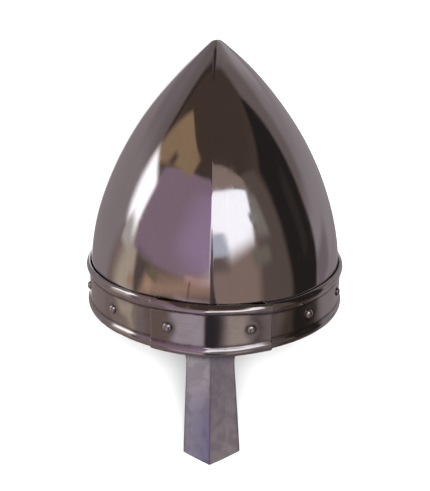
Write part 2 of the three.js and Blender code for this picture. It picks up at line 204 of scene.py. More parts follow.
class Solid:
    """Collects the vertices and faces of one closed piece, with what the material reads at each vertex."""

    def __init__(self):
        self.points, self.skins, self.marks, self.faces, self.maps = [], [], [], [], []
        self.count = 0

    def add(self, p, skin, mark):
        """p, skin (around, along, 0) and mark (inner side; painted shade with grime in the hollows; seam, tint and
        painted shadow) are arrays of shape (..., 3). Returns indices.
        """
        shape = p.shape[:-1]
        n = int(np.prod(shape))
        self.points.append(p.reshape(-1, 3))
        self.skins.append(np.broadcast_to(skin, p.shape).reshape(-1, 3))
        self.marks.append(np.broadcast_to(mark, p.shape).reshape(-1, 3))
        index = np.arange(self.count, self.count + n).reshape(shape)
        self.count += n
        return index

    def quads(self, a, b, c, d, uv=None):
        f = np.stack([a, b, c, d], -1).reshape(-1, 4)
        self.faces.append(f)
        self.maps.append(np.zeros((len(f), 4, 2)) if uv is None else np.stack(uv, -2).reshape(-1, 4, 2))

    def grid(self, index, wrap_rows=False, wrap_cols=False, uv_box=None):
        """Faces of a grid index[row, column], facing (along columns) x (along rows)."""
        rows, cols = index.shape
        i = index
        if wrap_rows:
            i = np.concatenate([i, i[:1]], 0)
        if wrap_cols:
            i = np.concatenate([i, i[:, :1]], 1)
        uv = None
        if uv_box is not None:
            u = np.linspace(uv_box[0], uv_box[2], i.shape[1])
            v = np.linspace(uv_box[1], uv_box[3], i.shape[0])
            g = np.stack(np.meshgrid(u, v), -1)
            uv = (g[:-1, :-1], g[:-1, 1:], g[1:, 1:], g[1:, :-1])
        self.quads(i[:-1, :-1], i[:-1, 1:], i[1:, 1:], i[1:, :-1], uv)

    def build(self, name, material):
        p = np.concatenate(self.points)
        quads = np.concatenate([f for f in self.faces if f.shape[1] == 4])
        quad_uv = np.concatenate([m for f, m in zip(self.faces, self.maps) if f.shape[1] == 4])
        tris = [f for f in self.faces if f.shape[1] == 3]
        tri_uv = [m for f, m in zip(self.faces, self.maps) if f.shape[1] == 3]
        tris = np.concatenate(tris) if tris else np.zeros((0, 3), int)
        tri_uv = np.concatenate(tri_uv) if tri_uv else np.zeros((0, 3, 2))
        loops = np.concatenate([quads.ravel(), tris.ravel()]).astype(np.int32)
        sizes = np.concatenate([np.full(len(quads), 4), np.full(len(tris), 3)]).astype(np.int32)
        starts = np.concatenate([[0], np.cumsum(sizes)[:-1]]).astype(np.int32)
        me = bpy.data.meshes.new(name)
        me.vertices.add(len(p))
        me.vertices.foreach_set("co", at_rest(p).astype(np.float32).ravel())
        me.loops.add(len(loops))
        me.loops.foreach_set("vertex_index", loops)
        me.polygons.add(len(sizes))
        me.polygons.foreach_set("loop_start", starts)
        me.polygons.foreach_set("loop_total", sizes)
        me.polygons.foreach_set("use_smooth", np.ones(len(sizes), bool))
        for key, data in (("up", p), ("skin", np.concatenate(self.skins)), ("mark", np.concatenate(self.marks))):
            att = me.attributes.new(key, "FLOAT_VECTOR", "POINT")
            att.data.foreach_set("vector", data.astype(np.float32).ravel())
        uv = np.concatenate([quad_uv.reshape(-1, 2), tri_uv.reshape(-1, 2)]).astype(np.float32)
        if uv.any():
            layer = me.uv_layers.new(name="OFBake")
            layer.uv.foreach_set("vector", uv.ravel())
        me.update()
        me.validate()
        ob = bpy.data.objects.new(name, me)
        bpy.context.scene.collection.objects.link(ob)
        me.materials.append(material)
        return ob


def grid_normals(p, wrap_cols):
    """Outward normals of a grid of points p[row, column]."""
    if wrap_cols:
        across = np.roll(p, -1, 1) - np.roll(p, 1, 1)
    else:
        across = np.gradient(p, axis=1)
    n = np.cross(across, np.gradient(p, axis=0))
    return n / np.linalg.norm(n, axis=-1, keepdims=True)


# The weld along the front ridge: (height, depth, half width, crest shift, foot on the wearer's left).
# It is ground flush over the middle, open in a short slit below the point, and a shallow groove above the band.
SEAM = np.array([
    (30.0, 0.30, 0.75, 0.60, 2.8),
    (40.0, 0.30, 0.70, 0.50, 1.2),
    (50.0, 0.28, 0.65, 0.40, 0.2),
    (66.0, 0.28, 0.60, 0.20, 0.2),
    (78.0, 0.20, 0.50, 0.00, 0.0),
    (88.0, 0.00, 0.40, -0.10, 0.0),
    (174.0, 0.00, 0.40, -1.00, 0.0),
    (180.0, 0.40, 0.50, -1.20, 0.0),
    (188.0, 0.75, 0.75, -1.10, 0.0),
    (193.0, 0.70, 0.70, -0.90, 0.0),
    (197.0, 0.10, 0.45, -0.60, 0.0),
    (202.0, 0.00, 0.45, 0.00, 0.0),
])


def seam_at(z):
    return [np.interp(z, SEAM[:, 0], SEAM[:, i]) for i in range(1, 5)]


def make_skull(material):
    near = np.array([0.0, 0.22, 0.45, 0.7, 1.0, 1.35, 1.75, 2.2, 2.8, 3.5, 4.4, 5.5, 7.0, 8.6]) / HALF_DEPTH
    wide = np.linspace(near[-1] + math.radians(1.1), math.pi - near[-1] - math.radians(1.1), 146)
    right = np.concatenate([near, wide, math.pi - near[::-1]])
    a = np.concatenate([right, -right[-2:0:-1]])
    half, z, length, point_z = profile(2.0)
    zz = z[:, None]
    depth, width, shift, foot = [v[:, None] for v in seam_at(z)]
    scale = (half / HALF_WIDTH)[:, None]
    front = np.cos(a)[None, :] > 0
    wander = np.where(front, shift / np.maximum(scale, 0.05), 0.0)
    xy = plan(a[None, :], zz, 0.7, wander) * scale[..., None]
    base = np.concatenate([xy, np.broadcast_to(zz[..., None], xy.shape[:2] + (1,))], -1)
    normal = grid_normals(base, True)
    calm = smoothstep(z, 12, 40)[:, None] * (1 - 0.8 * smoothstep(z, 185, 198)[:, None])
    bulge = dents(base, 11, 26, 30.0, 85.0, 0.006) + dents(base, 12, 22, 12.0, 26.0, 0.0022)
    # groove of the weld, and a plain one down the nape
    x = base[..., 0] - np.where(front, shift, 0.0)
    t = np.where(x > 0, np.maximum(x - foot, 0) / width, -x / width)
    groove = np.where(front, depth, 0.10 * smoothstep(zz, 60, 100)) / (1 + np.abs(t * 1.25) ** 6)
    outer = base + normal * (bulge * calm - groove)[..., None]
    # dark line along the weld seam, darkest where its groove is deepest, and a fainter one down the nape
    seam_tint_and_shade = np.where(front, np.clip(depth / 0.25, 0.0, 1.0), 0.35) / (1 + np.abs(t * 0.7) ** 8)
    # painted shadow of the band's top edge on the skull, beside the plate
    seam_tint_and_shade = np.maximum(seam_tint_and_shade, 0.7 * np.exp(-((zz - 35.5) / 2.6) ** 2 - (wrapped(a + math.radians(17.0)) / math.radians(7.0)) ** 2))
    around = np.broadcast_to(wrapped(a)[None, :] * 105.0, outer.shape[:2])
    along = np.broadcast_to(length[:, None], outer.shape[:2])
    skin = np.stack([around, along, 0 * around], -1)
    zero = np.zeros(outer.shape[:2])
    s = Solid()
    # inner wall from the point down to the rim, over every second row
    keep = np.unique(np.concatenate([np.arange(0, len(z), 2), [len(z) - 1]]))
    inner = (base - normal * SKULL_THICKNESS)[keep][::-1]
    in_skin, in_zero = skin[keep][::-1], zero[keep][::-1]
    pole_in = s.add(np.array([[0.0, 0.0, point_z - SKULL_THICKNESS]]), np.array([[0.0, 250.0, 0.0]]), np.array([[1.0, 0.0, 0.0]]))
    inner_i = s.add(inner, in_skin, np.stack([in_zero + 1, in_zero, in_zero], -1))
    # rounded lower edge
    lip = []
    mid, up = (base[0] + inner[-1]) / 2, np.array([0, 0, 1.0])
    across = (base[0] - inner[-1]) / 2
    for t_ in (0.25, 0.5, 0.75):
        lip.append(mid - across * math.cos(math.pi * t_) - up * (SKULL_THICKNESS / 2) * math.sin(math.pi * t_))
    lip = np.array(lip)
    lip_i = s.add(lip, skin[:3], np.stack([zero[:3] + 0.6, zero[:3], zero[:3]], -1))
    outer_i = s.add(outer, skin, np.stack([zero, zero, seam_tint_and_shade], -1))
    pole = s.add(np.array([[0.0, 0.0, point_z]]), np.array([[0.0, 240.0, 0.0]]), np.array([[0.0, 0.0, 0.0]]))
    s.grid(inner_i, wrap_cols=True, uv_box=(0.002, 0.30, 0.998, 0.01))
    s.grid(np.concatenate([inner_i[-1:], lip_i, outer_i[:1]]), wrap_cols=True, uv_box=(0.002, 0.31, 0.998, 0.33))
    s.grid(outer_i, wrap_cols=True, uv_box=(0.002, 0.34, 0.998, 0.985))
    n = len(a)
    u = np.linspace(0.002, 0.998, n + 1)
    k = np.roll(np.arange(n), -1)
    s.faces.append(np.stack([np.full(n, pole_in[0]), inner_i[0][k], inner_i[0]], -1))
    s.maps.append(np.stack([np.stack([(u[:-1] + u[1:]) / 2, np.full(n, 0.305)], -1), np.stack([u[1:], np.full(n, 0.30)], -1), np.stack([u[:-1], np.full(n, 0.30)], -1)], 1))
    s.faces.append(np.stack([outer_i[-1], outer_i[-1][k], np.full(n, pole[0])], -1))
    s.maps.append(np.stack([np.stack([u[:-1], np.full(n, 0.985)], -1), np.stack([u[1:], np.full(n, 0.985)], -1), np.stack([(u[:-1] + u[1:]) / 2, np.full(n, 0.995)], -1)], 1))
    return s.build("skull_shell", material)


BAND_RISE, PLATE_RISE = monotone(BAND_PROFILE), monotone(PLATE_PROFILE)


def rise(a, z, layer):
    """Rise of the sheet over its flat. The plate's own upper bead turns into the band's towards the plate's ends."""
    if layer == "band":
        return BAND_RISE(z)
    share = smoothstep(np.abs(a), *PLATE_BEAD)
    return share * BAND_RISE(z) + (1 - share) * PLATE_RISE(z)


def rivet_dimple(a, z, layer):
    """Shallow dish that each rivet pulled into the sheet under its head."""
    total = 0.0
    for k, (_, deg, through) in enumerate(RIVETS):
        if through != layer:
            continue
        d2 = (wrapped(a - math.radians(deg)) * 108.0) ** 2 + (z - RIVET_Z) ** 2
        total = total - (0.30 + 0.08 * math.sin(5.0 * k)) * np.exp(-d2 / 5.2**2)
    return total


def strip_shade_and_grime(a, z, layer):
    """Painted shade with grime: darker in the hollows beside the beads, along the upper and lower edges and in a ring
    round the rivet heads.
    """
    upper, lower = (28.2, 7.2) if layer == "band" else (29.9, 6.4)
    foot = np.exp(-((z - upper) / 1.0) ** 2) + 0.8 * np.exp(-((z - lower) / 1.2) ** 2)
    foot = foot + 0.5 * np.exp(-((z - 36.4) / 0.8) ** 2) + 0.6 * np.exp(-((z + 0.6) / 1.0) ** 2)
    for _, deg, through in RIVETS:
        if through == layer:
            d = np.hypot(wrapped(a - math.radians(deg)) * 108.0, z - RIVET_Z)
            foot = foot + 0.9 * np.exp(-((d - 3.5) / 0.7) ** 2)
    return np.clip(foot, 0.0, 1.0)


def make_strip(name, material, ends, step, inside, layer, soft, corner, seed):
    lo, hi = math.radians(ends[0]), math.radians(ends[1])
    fine = np.array([0.0, 0.12, 0.3, 0.55, 0.9, 1.3, 1.9, 2.7]) / 108.0
    cols = max(8, round(math.degrees(hi - lo) / step))
    a = np.concatenate([lo + fine, np.linspace(lo + fine[-1], hi - fine[-1], cols + 1)[1:-1], hi - fine[::-1]])
    if lo < 0:
        crest = np.array([0.1, 0.25, 0.45, 0.7, 1.0, 1.5]) / HALF_DEPTH
        a = np.sort(np.concatenate([a[np.abs(a) > 2.0 / HALF_DEPTH], -crest, [0.0], crest]))
    from_end = np.minimum(a - lo, hi - a) * 108.0
    # rounded edge of the sheet where it ends, and rounded corners
    t = np.clip(from_end / (BAND_THICKNESS / 2), 0, 1)
    thick = BAND_THICKNESS / 2 * np.sqrt(np.clip(1 - 0.72 * (1 - t) ** 2, 0, 1))
    c = np.clip(from_end / corner, 0, 1)
    inset = corner * (1 - np.sqrt(np.clip(1 - (1 - c) ** 2, 0, 1)))
    h = BAND_THICKNESS / 2
    share = np.concatenate([np.linspace(0, 0.24, 30), np.linspace(0.24, 0.76, 16)[1:], np.linspace(0.76, 1, 34)[1:]])
    z0, z1 = h + inset, BAND_PROFILE[-1][0] - h - inset
    z = z0[None, :] + share[:, None] * (z1 - z0)[None, :]
    A = np.broadcast_to(a[None, :], z.shape)
    off = rise(A, z, layer)
    d = 0.05
    slope = (rise(A, z + d, layer) - rise(A, z - d, layer)) / (2 * d)
    size = np.sqrt(1 + slope * slope)
    n_off, n_z = 1 / size, -slope / size
    base, normal = plan(a, 0.0, soft), plan_normal(a, 0.0, soft)

    # the plate's end on the wearer's left stands a little off the band
    spring = 0.0 if layer == "band" else 0.6 * np.clip((a - math.radians(12.0)) / math.radians(9.4), 0.0, 1.0) ** 2

    def place(off_, z_):
        push = off_ + inside + h + spring
        xy = base[None] + normal[None] * push[..., None]
        p = np.concatenate([xy, (z_ - sag(A[: len(z_)], z_) - dip(A[: len(z_)], z_))[..., None]], -1)
        uneven = dents(p, seed, 24, 16.0, 60.0, 0.0075) * (0.35 + 0.65 * smoothstep(z_, 4, 10) * (1 - smoothstep(z_, 27, 31)))
        move = uneven + rivet_dimple(A[: len(z_)], z_, layer)
        if layer == "band":  # both beads are knocked in a little before the first rivet on the wearer's right
            move = move - 0.4 * np.exp(-(wrapped(a + math.radians(35.5)) * 108.0 / 8.0) ** 2) * (1 - np.exp(-((z_ - RIVET_Z) / 7.0) ** 2))
        p[..., :2] += normal[None] * move[..., None]
        return p

    th = thick[None, :]
    outer = place(off + th * n_off, z + th * n_z)
    inner = place(off - th * n_off, z - th * n_z)

    def cap(row, sign):
        rings = []
        for ang in np.linspace(0, math.pi, 6)[1:-1]:
            cs, sn = math.cos(ang), math.sin(ang)
            o = off[row][None] + th * (n_off[row] * cs - sign * n_z[row] * sn)
            if sign > 0:
                o = o - 0.5 * max(-cs, 0.0) ** 0.5  # the upper edge closes in to the skull
            q = z[row][None] + th * (n_z[row] * cs + sign * n_off[row] * sn)
            rings.append(place(o, q)[0])
        return np.array(rings)

    top = cap(-1, 1.0)
    bottom = cap(0, -1.0)[::-1]
    along_a = a * 108.0

    def lay(p, z_, inner_mark, layer_mark):
        zz = np.broadcast_to(z_, p.shape[:2])
        skin = np.stack([np.broadcast_to(along_a, p.shape[:2]), zz, np.zeros(p.shape[:2])], -1)
        mark = np.stack([np.full(p.shape[:2], inner_mark), layer_mark, np.zeros(p.shape[:2])], -1)
        return skin, mark

    s = Solid()
    shade_and_grime = strip_shade_and_grime(A, z, layer)
    # painted shade at the sheet's ends, switched off
    edge_shade = np.exp(-(from_end / 0.9) ** 2)[None, :] * 0.0
    o_i = s.add(outer, *lay(outer, z, 0.0, np.clip(shade_and_grime + edge_shade, 0, 1)))
    # the rolled top and bottom edges carry a fixed share of painted shade
    t_i = s.add(top, *lay(top, z[-1:], 0.0, np.full(top.shape[:2], 0.3)))
    n_i = s.add(inner[::-1], *lay(inner, z[::-1], 1.0, np.zeros(z.shape)))
    b_i = s.add(bottom, *lay(bottom, z[:1], 0.3, np.full(bottom.shape[:2], 0.4)))
    rows = len(o_i)
    s.grid(np.concatenate([b_i[-1:], o_i, t_i[:1]]), uv_box=(0.004, 0.50, 0.996, 0.99))
    s.grid(np.concatenate([t_i, n_i, b_i]), uv_box=(0.004, 0.01, 0.996, 0.48))
    o, q = o_i, n_i[::-1]
    for col, flip in ((0, False), (-1, True)):
        pieces = [(o[:-1, col], o[1:, col], q[1:, col], q[:-1, col])]
        tri = []
        loop = [o[-1, col], *t_i[:, col], q[-1, col]]
        tri += [(loop[0], loop[i], loop[i + 1]) for i in range(1, len(loop) - 1)]
        loop = [q[0, col], *b_i[:, col], o[0, col]]
        tri += [(loop[0], loop[i], loop[i + 1]) for i in range(1, len(loop) - 1)]
        u = 0.0015 if col == 0 else 0.9985
        for A_, B_, C_, D_ in pieces:
            v = np.linspace(0.51, 0.98, rows)
            side = np.stack([np.full(rows - 1, u - 0.001), v[:-1]], -1), np.stack([np.full(rows - 1, u - 0.001), v[1:]], -1)
            far = np.stack([np.full(rows - 1, u + 0.001), v[1:]], -1), np.stack([np.full(rows - 1, u + 0.001), v[:-1]], -1)
            uv = (side[0], side[1], far[0], far[1])
            if flip:
                s.quads(D_, C_, B_, A_, uv[::-1])
            else:
                s.quads(A_, B_, C_, D_, uv)
        tri = np.array(tri)
        if flip:
            tri = tri[:, ::-1]
        s.faces.append(tri)
        spot = np.array([[u - 0.001, 0.5], [u + 0.001, 0.5], [u, 0.505]])
        s.maps.append(np.broadcast_to(spot, (len(tri), 3, 2)).copy())
    return s.build(name, material)


# ---------------------------------------------------------------- nasal


def make_nasal(material):
    h = NASAL_THICKNESS / 2
    mid = GAP + h
    hw = monotone([(-z, w) for z, w, _ in NASAL_SECTIONS])
    crease = monotone([(-z, c) for z, _, c in NASAL_SECTIONS])
    grid_a = np.linspace(-0.5, 0.5, 4001)

    def bar(x, z, off, u):
        xy = plan(grid_a, 0.0, 0.35) + plan_normal(grid_a, 0.0, 0.35) * off
        back = np.interp(x, xy[:, 0], xy[:, 1])
        soft = np.sqrt(u * u + 0.02**2) - 0.02
        return np.stack([x, back + crease(np.maximum(-z, 0)) * soft - NASAL_FLARE * np.maximum(-z, 0), z], -1)

    left = plan(np.array([math.radians(ROOT_ENDS[0])]), 0.0, 0.35)[0, 0]
    right = plan(np.array([math.radians(ROOT_ENDS[1])]), 0.0, 0.35)[0, 0]
    core = np.linspace(0.06, 1, 22)[:-1]
    edge = np.array([1 - 0.018, 1 - 0.008, 1.0])
    pos = np.concatenate([[0.012, 0.03], core, edge])
    u = np.concatenate([-pos[::-1], [0.0], pos])
    # rows from the pointed end up to the root's top; the first few round the lower edge of the sheet
    low = np.array([0.0, 0.1, 0.25, 0.5, 0.8, 1.3])
    level = np.concatenate([low, np.linspace(2.4, 76.2, 62), np.array([77.2, 78.4, 79.4, 80.2, 81.0, 81.6]), np.linspace(83, 102.4, 12), np.array([102.9, 103.3, 103.6])])
    rows_o, rows_i, skins, marks = [], [], [], []
    for lv in level:
        t = min(lv / 76.2, 1.0)
        drop = NASAL_DROP * (1 - np.sqrt(u * u + 0.03**2)) + np.where(u < 0, 1.6, 0.4) * np.abs(u)
        drop = drop * (1 - t) ** 1.5
        zc = lv - 76.2
        z = np.full_like(u, zc) - drop
        w = hw(np.maximum(-z, 0.0))
        grow = float(smoothstep(zc, 2.0, 5.6))
        share = np.clip(-z / 76.2, 0.0, 1.0)
        wl = w - 1.45 * share
        wr = w - 0.5 + 1.55 * share
        wl = wl + (-left - wl) * grow
        wr = wr + (right - wr) * grow
        x = np.where(u < 0, u * wl, u * wr)
        end = min(lv, 103.6 - lv)
        k = min(1.0, end / 0.8)
        thick_row = h * math.sqrt(max(0.0, 1 - 0.75 * (1 - k) ** 2))
        side = (1 - np.abs(u)) * w
        k2 = np.clip(side / 0.7, 0, 1)
        thick = thick_row * np.sqrt(np.clip(1 - 0.75 * (1 - k2) ** 2, 0, 1))
        o = bar(x, z, mid + 0.0, u)
        # the sheet's own normal, near enough the face's direction
        n = np.stack([np.zeros_like(u), -np.ones_like(u), np.zeros_like(u)], -1)
        rows_o.append(o + n * thick[:, None])
        rows_i.append(o - n * thick[:, None])
        skins.append(np.stack([x, z, 0 * x], -1))
        dark_tint = np.where(u < 0, 0.75 * smoothstep(-z, 16.0, 54.0) * (1 + 0.45 * np.clip(u, -1, 0)), 0.37 - 0.12 * smoothstep(-z, 50.0, 70.0))
        # the second mark is painted shadow of the band's lower edge over the top of the nasal
        marks.append(np.stack([0 * x, smoothstep(z, -7.0, -0.5), dark_tint], -1))
    outer, inner = np.array(rows_o), np.array(rows_i)
    skin, mark = np.array(skins), np.array(marks)
    wave = dents(outer, 31, 20, 14.0, 50.0, 0.006) * smoothstep(-outer[..., 2], 0, 8)
    outer[..., 1] += wave
    inner[..., 1] += wave
    s = Solid()
    in_mark = mark.copy()
    in_mark[..., 0] = 1.0
    o_i = s.add(outer, skin, mark)
    n_i = s.add(inner, skin, in_mark)
    s.grid(o_i, uv_box=(0.01, 0.01, 0.48, 0.99))
    s.grid(n_i[:, ::-1], uv_box=(0.52, 0.01, 0.99, 0.99))
    s.quads(o_i[:-1, -1], n_i[:-1, -1], n_i[1:, -1], o_i[1:, -1], edge_uv(len(level), 0.490))
    s.quads(n_i[:-1, 0], o_i[:-1, 0], o_i[1:, 0], n_i[1:, 0], edge_uv(len(level), 0.508))
    s.quads(o_i[0, 1:], o_i[0, :-1], n_i[0, :-1], n_i[0, 1:], edge_uv(len(u), 0.500))
    s.quads(o_i[-1, :-1], o_i[-1, 1:], n_i[-1, 1:], n_i[-1, :-1], edge_uv(len(u), 0.515))
    return s.build("nasal_bar", material)


def edge_uv(n, u):
    v = np.linspace(0.02, 0.98, n)
    k = n - 1
    return (
        np.stack([np.full(k, u), v[:-1]], -1), np.stack([np.full(k, u + 0.003), v[:-1]], -1),
        np.stack([np.full(k, u + 0.003), v[1:]], -1), np.stack([np.full(k, u), v[1:]], -1),
    )


# ---------------------------------------------------------------- rivets


def make_rivet(name, deg, through, k, material):
    a = np.array([math.radians(deg)])
    soft = 0.35
    seat = (PLATE_INSIDE if through == "plate" else BAND_INSIDE) + BAND_THICKNESS
    n2, p2 = plan_normal(a, 0.0, soft)[0], plan(a, 0.0, soft)[0]
    sink = -float(rivet_dimple(a, np.array([RIVET_Z]), through)[0])
    axis = np.array([n2[0], n2[1], 0.0])
    up = np.array([0.0, 0.0, 1.0])
    side = np.cross(up, axis)
    rng = np.random.default_rng(100 + k)
    tilt = rng.normal(0, 0.035, 2)
    axis = axis + side * tilt[0] + up * tilt[1]
    axis /= np.linalg.norm(axis)
    up = up - axis * (up @ axis)
    up /= np.linalg.norm(up)
    side = np.cross(up, axis)
    centre = np.array([*(p2 + n2 * seat), RIVET_Z]) - np.array([n2[0], n2[1], 0.0]) * sink
    radius = 3.3 * (1 + rng.normal(0, 0.02))
    height = 2.45 * (1 + rng.normal(0, 0.03))
    squash = 1 + rng.normal(0, 0.02)
    through_to = -(seat - sink + SKULL_THICKNESS)
    rows = []
    for t in np.linspace(0, 1, 6)[1:]:  # flat tail inside, with a rounded edge
        rows.append((3.0 * math.sin(t * math.pi / 2), through_to - 0.55 - 0.45 * math.cos(t * math.pi / 2)))
    rows += [(3.0, through_to - 0.08), (2.9, through_to), (2.0, through_to), (2.0, -0.15)]
    rows += [(radius * 0.9, -0.15), (radius, 0.02), (radius * 1.005, 0.22)]
    dome = np.linspace(0, math.pi / 2, 15)[1:-1]
    for t in dome:
        rows.append((radius * math.cos(t) ** 0.92, 0.22 + (height - 0.22) * math.sin(t)))
    rows = np.array(rows)
    seg = 40
    ang = np.linspace(0, 2 * math.pi, seg, endpoint=False)
    r, hgt = rows[:, 0][:, None], rows[:, 1][:, None]
    lump = 1 + 0.012 * np.sin(2 * ang + rng.uniform(0, 6)) + 0.008 * np.sin(3 * ang + rng.uniform(0, 6))
    p = (
        centre
        + side * (r * np.cos(ang) * lump * squash)[..., None]
        + up * (r * np.sin(ang) * lump / squash)[..., None]
        + axis * np.broadcast_to(hgt, (len(rows), seg))[..., None]
    )
    s = Solid()
    # painted shade with grime round the foot of the head, where it meets the sheet
    low = np.clip(1 - (hgt - 0.1) / 0.9, 0, 1) * (hgt > -0.2)
    inner = (hgt < -1.0).astype(float)
    mark = np.stack([np.broadcast_to(inner, p.shape[:2]), np.broadcast_to(low, p.shape[:2]), np.zeros(p.shape[:2])], -1)
    skin = np.stack([np.broadcast_to(ang * 3.0, p.shape[:2]), np.broadcast_to(hgt, p.shape[:2]), np.full(p.shape[:2], float(k))], -1)
    first = s.add((centre + axis * (through_to - 1.0))[None], skin[:1, 0], mark[:1, 0])
    body = s.add(p, skin, mark)
    last = s.add((centre + axis * height)[None], skin[-1:, 0], mark[-1:, 0])
    s.grid(body, wrap_cols=True, uv_box=(0.01, 0.03, 0.99, 0.97))
    j = np.roll(np.arange(seg), -1)
    u = np.linspace(0.01, 0.99, seg + 1)
    s.faces.append(np.stack([np.full(seg, first[0]), body[0][j], body[0]], -1))
    s.maps.append(np.stack([np.stack([(u[:-1] + u[1:]) / 2, np.full(seg, 0.01)], -1), np.stack([u[1:], np.full(seg, 0.03)], -1), np.stack([u[:-1], np.full(seg, 0.03)], -1)], 1))
    s.faces.append(np.stack([body[-1], body[-1][j], np.full(seg, last[0])], -1))
    s.maps.append(np.stack([np.stack([u[:-1], np.full(seg, 0.97)], -1), np.stack([u[1:], np.full(seg, 0.97)], -1), np.stack([(u[:-1] + u[1:]) / 2, np.full(seg, 0.99)], -1)], 1))
    return s.build(name + "_head", material)


# ---------------------------------------------------------------- materials


class Tree:
    """Short ways to add nodes to a material's or the world's tree."""

    def __init__(self, tree):
        self.tree = tree
        tree.nodes.clear()

    def node(self, kind, **settings):
        n = self.tree.nodes.new(kind)
        for key, value in settings.items():
            setattr(n, key, value)
        return n

    def put(self, socket, value):
        if isinstance(value, bpy.types.NodeSocket):
            self.tree.links.new(value, socket)
        elif value is not None:
            socket.default_value = value

    def math(self, op, a, b=None, c=None, clamp=False):
        n = self.node("ShaderNodeMath", operation=op, use_clamp=clamp)
        for socket, value in zip(n.inputs, (a, b, c)):
            self.put(socket, value)
        return n.outputs[0]

    def span(self, x, a, b, to_a=0.0, to_b=1.0, kind="SMOOTHSTEP"):
        n = self.node("ShaderNodeMapRange", interpolation_type=kind)
        for socket, value in zip(n.inputs, (x, a, b, to_a, to_b)):
            self.put(socket, value)
        return n.outputs[0]

    def mix(self, share, a, b, kind="MIX"):
        n = self.node("ShaderNodeMix", data_type="RGBA", blend_type=kind)
        self.put(n.inputs[0], share)
        self.put(n.inputs[6], a)
        self.put(n.inputs[7], b)
        return n.outputs[2]

    def attribute(self, name):
        return self.node("ShaderNodeAttribute", attribute_name=name).outputs["Vector"]

    def stretched(self, vector, scale):
        n = self.node("ShaderNodeVectorMath", operation="MULTIPLY")
        self.put(n.inputs[0], vector)
        n.inputs[1].default_value = scale
        return n.outputs[0]

    def noise(self, vector, scale, detail=2.0, rough=0.5, warp=0.0):
        n = self.node("ShaderNodeTexNoise")
        self.put(n.inputs["Vector"], vector)
        n.inputs["Scale"].default_value = scale
        n.inputs["Detail"].default_value = detail
        n.inputs["Roughness"].default_value = rough
        n.inputs["Distortion"].default_value = warp
        return n.outputs["Fac"]

    def parts(self, vector):
        n = self.node("ShaderNodeSeparateXYZ")
        self.put(n.inputs[0], vector)
        return n.outputs[0], n.outputs[1], n.outputs[2]


def rgb(r, g, b):
    return (r, g, b, 1.0)


def steel(name, light, dark, inner, shade_and_grime, rough, streak_scale, streak_rough, mottle, bump, haze=0.05, dark_tint=(0.075, 0.06, 0.062), dark_tint_rough=0.25):
    """Worked sheet steel: drawn-out polishing lines, cloudy tone, smudges, painted shade with grime in the hollows, a
    dark tint on the seam mark that on the skull also paints a shadow, and a plain inner side.
    """
    mat = bpy.data.materials.new(name)
    mat.use_nodes = True
    t = Tree(mat.node_tree)
    up, skin, mark = t.attribute("up"), t.attribute("skin"), t.attribute("mark")
    inside, hollow_shade, seam_tint_and_shade = t.parts(mark)
    cloud = t.noise(up, 0.022, 3.0, 0.55, 0.4)
    spots = t.noise(up, 0.11, 4.0, 0.6, 0.8)
    lines = t.noise(t.stretched(skin, streak_scale), 1.0, 3.0, 0.6)
    fine = t.noise(t.stretched(skin, tuple(4.3 * v for v in streak_scale)), 1.0, 2.0, 0.5)
    tone = t.math("ADD", t.span(cloud, 0.3, 0.7, 0.0, 0.5, "LINEAR"), t.span(lines, 0.3, 0.7, 0.0, 0.5, "LINEAR"))
    patch = t.span(spots, 0.42, 0.68)
    tone = t.math("SUBTRACT", tone, t.math("MULTIPLY", patch, mottle), clamp=True)
    colour = t.mix(tone, rgb(*dark), rgb(*light))
    scale_mark = t.span(t.noise(up, 0.06, 5.0, 0.65, 1.2), 0.35, 0.7)
    inner_tone = t.mix(scale_mark, rgb(*inner), rgb(*(0.62 * v for v in inner)))
    colour = t.mix(inside, colour, inner_tone)
    # painted shade with grime in the hollows, broken up by the spots
    shade_and_dirt = t.math("MULTIPLY", hollow_shade, t.span(spots, 0.25, 0.6, 0.45, 0.9))
    colour = t.mix(shade_and_dirt, colour, rgb(*shade_and_grime))
    # dark tint where the seam mark is: the weld line, the nasal's bluish tint and, on the skull, a painted shadow
    colour = t.mix(t.math("MULTIPLY", seam_tint_and_shade, 0.82), colour, rgb(*dark_tint))
    r = t.math("MULTIPLY_ADD", patch, haze, rough)
    r = t.math("MULTIPLY_ADD", t.span(lines, 0.35, 0.75, 0.0, 1.0, "LINEAR"), streak_rough, r)
    r = t.math("MULTIPLY_ADD", inside, 0.30, r)
    r = t.math("MULTIPLY_ADD", shade_and_dirt, 0.16, r)
    r = t.math("MULTIPLY_ADD", seam_tint_and_shade, dark_tint_rough, r, clamp=True)
    height = t.math("MULTIPLY_ADD", fine, 0.5, lines)
    height = t.math("MULTIPLY_ADD", t.math("MULTIPLY", scale_mark, inside), 1.6, height)
    b = t.node("ShaderNodeBump")
    b.inputs["Strength"].default_value = bump[0]
    b.inputs["Distance"].default_value = bump[1]
    t.put(b.inputs["Height"], height)
    shader = t.node("ShaderNodeBsdfPrincipled")
    shader.inputs["Metallic"].default_value = 1.0
    t.put(shader.inputs["Base Color"], colour)
    t.put(shader.inputs["Roughness"], r)
    t.put(shader.inputs["Normal"], b.outputs[0])
    out = t.node("ShaderNodeOutputMaterial")
    t.put(out.inputs["Surface"], shader.outputs[0])
    return mat


